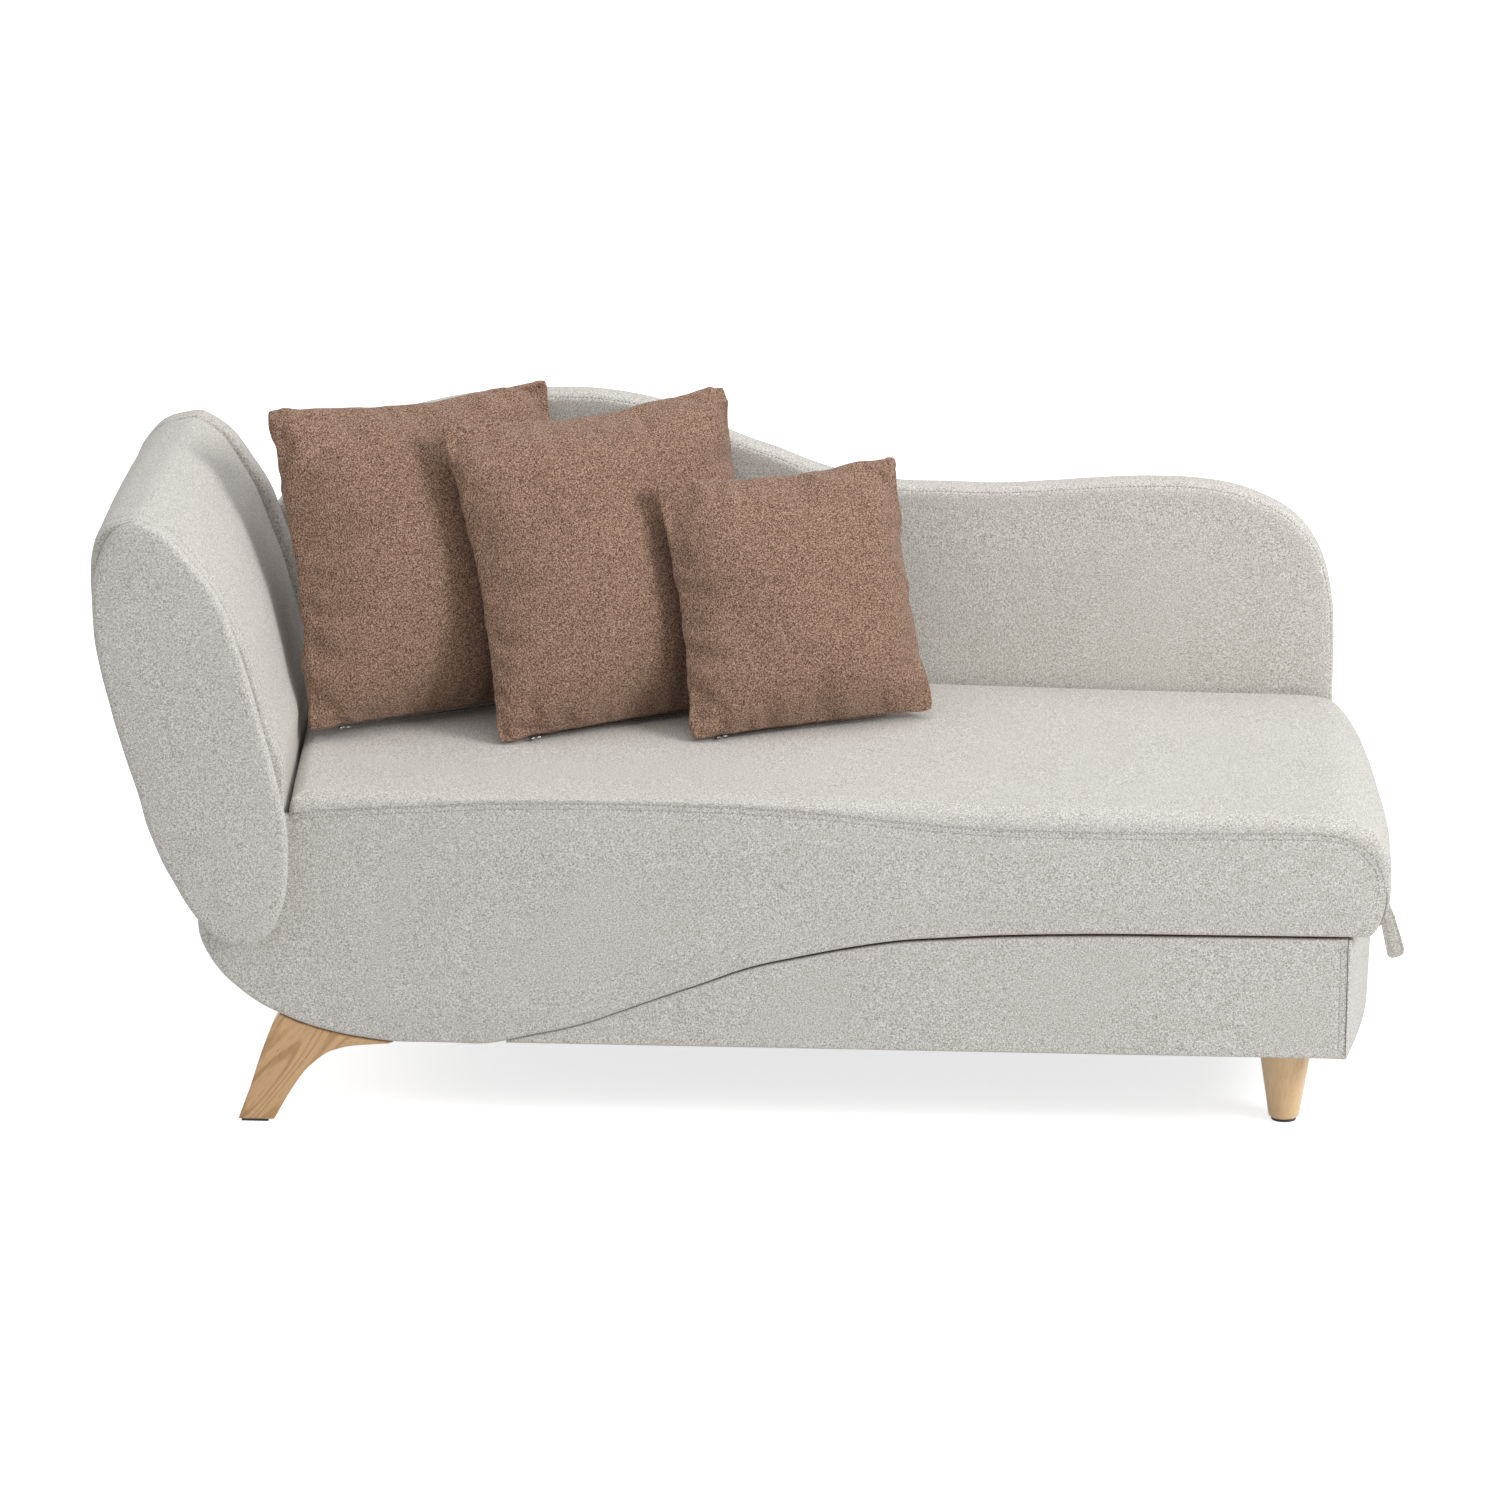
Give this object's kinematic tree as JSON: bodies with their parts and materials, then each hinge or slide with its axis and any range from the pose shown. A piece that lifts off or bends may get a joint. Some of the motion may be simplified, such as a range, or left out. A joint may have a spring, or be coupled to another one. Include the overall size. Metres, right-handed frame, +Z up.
{
  "type": "recamier",
  "caption": "Upholstered recamier with a padded head end, a wavy rear panel, a lift-up storage seat on gas struts, loose cushions, and plank and turned wooden legs.",
  "frame": {"origin": "centre of the footprint on the floor, under the middle of the bounding box", "axes": "+X along the length towards the foot end, +Y from the open front to the rear panel, +Z up"},
  "size_m": [1.6221, 0.69, 0.8337],
  "materials": {
    "upholstery": "matte",
    "cushion_cover": "matte",
    "plywood": "matte",
    "foam": "matte",
    "oak": "satin",
    "beech": "satin",
    "steel": "satin",
    "black_paint": "satin",
    "black_plastic": "matte",
    "rubber": "matte",
    "liner": "matte"
  },
  "bodies": {
    "base": {"front_rail": "plywood", "rear_rail": "plywood", "end_rail": "plywood", "head_rail": "plywood", "corner_blocks": "plywood", "head_deck": "plywood", "storage_floor": "plywood", "floor_ledgers": "plywood", "dust_cover": "liner", "head_end_wrap": "upholstery", "lower_panel_board": "plywood", "lower_panel_pad": "upholstery", "foot_end_panel": "upholstery", "rear_panel_frame": "plywood", "rear_panel_foam": "foam", "rear_panel_pad": "upholstery", "rear_panel_bolts": "steel", "backrest_side_front": "plywood", "backrest_side_rear": "plywood", "backrest_bottom_rail": "plywood", "backrest_top_rail": "plywood", "backrest_foam": "foam", "backrest_pad": "upholstery", "front_leaf": "upholstery", "rear_leaf": "upholstery", "backrest_bolts": "steel", "front_left_leg": "oak", "rear_left_leg": "oak", "front_right_leg": "beech", "rear_right_leg": "beech", "leg_mount_blocks": "plywood", "leg_bolts": "steel", "plank_glides": "black_plastic", "round_glides": "black_plastic", "lid_bumpers": "rubber", "hinge_base_plates": "steel", "strut_base_brackets": "steel"},
    "lid": {"lid_board": "plywood", "seat_foam": "foam", "seat_pad": "upholstery", "skirt_board": "plywood", "skirt_pad": "upholstery", "hinge_lid_plates": "steel", "hinge_pins": "black_paint", "strut_lid_brackets": "steel"},
    "front_strut_tube": {"front_strut_cylinder": "black_paint"},
    "front_strut_piston": {"front_strut_rod": "steel"},
    "rear_strut_tube": {"rear_strut_cylinder": "black_paint"},
    "rear_strut_piston": {"rear_strut_rod": "steel"},
    "strap": {"pull_strap": "upholstery"},
    "large_left": {"cushion_large_left": "cushion_cover", "zip_tape_large_left": "cushion_cover"},
    "large_right": {"cushion_large_right": "cushion_cover", "zip_tape_large_right": "cushion_cover"},
    "small": {"cushion_small": "cushion_cover", "zip_tape_small": "cushion_cover"},
    "large_left_slider": {"zip_slider_large_left": "black_plastic"},
    "large_right_slider": {"zip_slider_large_right": "black_plastic"},
    "small_slider": {"zip_slider_small": "black_plastic"}
  },
  "joints": [
    {"name": "seat_lift", "type": "hinge", "parent": "base", "child": "lid", "pos_m": [-0.525, -0.012, 0.395], "axis": [0, -1, 0], "range_deg": [0, 30]},
    {"name": "front_strut_swing", "type": "hinge", "parent": "base", "child": "front_strut_tube", "pos_m": [-0.513, -0.238, 0.15], "axis": [0, -1, 0], "range_deg": [0, 16.2]},
    {"name": "front_strut_stroke", "type": "slide", "parent": "front_strut_tube", "child": "front_strut_piston", "axis": [0.8972, 0, 0.4417], "range_m": [0, 0.1095]},
    {"name": "rear_strut_swing", "type": "hinge", "parent": "base", "child": "rear_strut_tube", "pos_m": [-0.513, 0.2137, 0.15], "axis": [0, -1, 0], "range_deg": [0, 16.2]},
    {"name": "rear_strut_stroke", "type": "slide", "parent": "rear_strut_tube", "child": "rear_strut_piston", "axis": [0.8972, 0, 0.4417], "range_m": [0, 0.1095]},
    {"name": "strap_swing", "type": "hinge", "parent": "lid", "child": "strap", "pos_m": [0.7751, -0.1, 0.2769], "axis": [0.624, 0, 0.7814], "range_deg": [-25, 25], "stiffness_Nm_per_rad": 0.01},
    {"name": "large_left_lift_off", "type": "slide", "parent": "base", "child": "large_left", "axis": [0, 0, 1], "range_m": [0, 0.5]},
    {"name": "large_right_lift_off", "type": "slide", "parent": "base", "child": "large_right", "axis": [0, 0, 1], "range_m": [0, 0.5]},
    {"name": "small_lift_off", "type": "slide", "parent": "base", "child": "small", "axis": [0, 0, 1], "range_m": [0, 0.5]},
    {"name": "large_left_zip", "type": "slide", "parent": "large_left", "child": "large_left_slider", "axis": [0.8116, 0.5835, -0.0284], "range_m": [0, 0.2708]},
    {"name": "large_right_zip", "type": "slide", "parent": "large_right", "child": "large_right_slider", "axis": [0.8416, 0.54, 0.0081], "range_m": [0, 0.2708]},
    {"name": "small_zip", "type": "slide", "parent": "small", "child": "small_slider", "axis": [0.9054, 0.4244, 0.0098], "range_m": [0, 0.2178]}
  ],
  "couplings": [
    {"joint": "front_strut_swing", "follows": "seat_lift", "ratio": 0.53577},
    {"joint": "front_strut_stroke", "follows": "seat_lift", "m_per_rad": 0.20842},
    {"joint": "rear_strut_swing", "follows": "seat_lift", "ratio": 0.53577},
    {"joint": "rear_strut_stroke", "follows": "seat_lift", "m_per_rad": 0.20842},
    {"joint": "large_left_lift_off", "follows": "seat_lift", "m_per_rad": 0.95},
    {"joint": "large_right_lift_off", "follows": "seat_lift", "m_per_rad": 0.95},
    {"joint": "small_lift_off", "follows": "seat_lift", "m_per_rad": 0.95}
  ]
}
